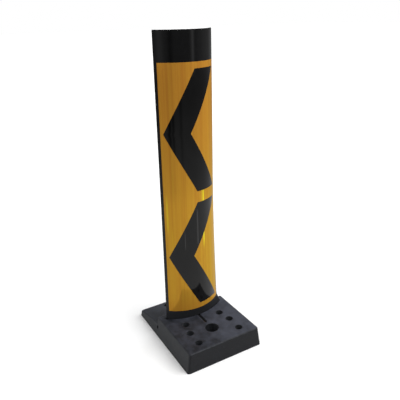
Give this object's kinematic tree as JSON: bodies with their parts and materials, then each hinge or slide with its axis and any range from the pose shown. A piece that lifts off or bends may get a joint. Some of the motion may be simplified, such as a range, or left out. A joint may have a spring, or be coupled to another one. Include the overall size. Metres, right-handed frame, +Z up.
{
  "type": "collapsible delineator post",
  "caption": "Curved self-righting delineator panel in black plastic with a yellow reflective sheet and black chevrons, set in a bolt-down rubber base with a rear ramp.",
  "frame": {"origin": "middle of the base's footprint on the road", "axes": "+Z up, -Y the way the panel's bulging front faces, +X to the right of someone who looks at that front"},
  "size_m": [0.2798, 0.3706, 1],
  "materials": {
    "base_rubber": "moulded, matt, slightly mottled",
    "panel_black": "smooth gloss",
    "rod_steel": "drawn bar, zinc plated",
    "plug_black": "moulded, matt",
    "yellow_film": "glossy reflective sheeting",
    "chevron_black": "glossy film"
  },
  "bodies": {
    "base": {"base_block": "base_rubber", "panel_foot": "panel_black", "locking_rod": "rod_steel", "rod_end_plugs": "plug_black"},
    "panel": {"panel_blade": "panel_black", "panel_bend": "panel_black", "yellow_sheet": "yellow_film", "lower_chevron": "chevron_black", "upper_chevron": "chevron_black"}
  },
  "joints": [
    {"name": "panel_fold", "type": "hinge", "parent": "base", "child": "panel", "pos_m": [0, 0.0102, 0.1185], "axis": [-1, 0, 0], "range_deg": [-95, 95], "stiffness_Nm_per_rad": 25, "deforming": ["panel_bend"]}
  ]
}
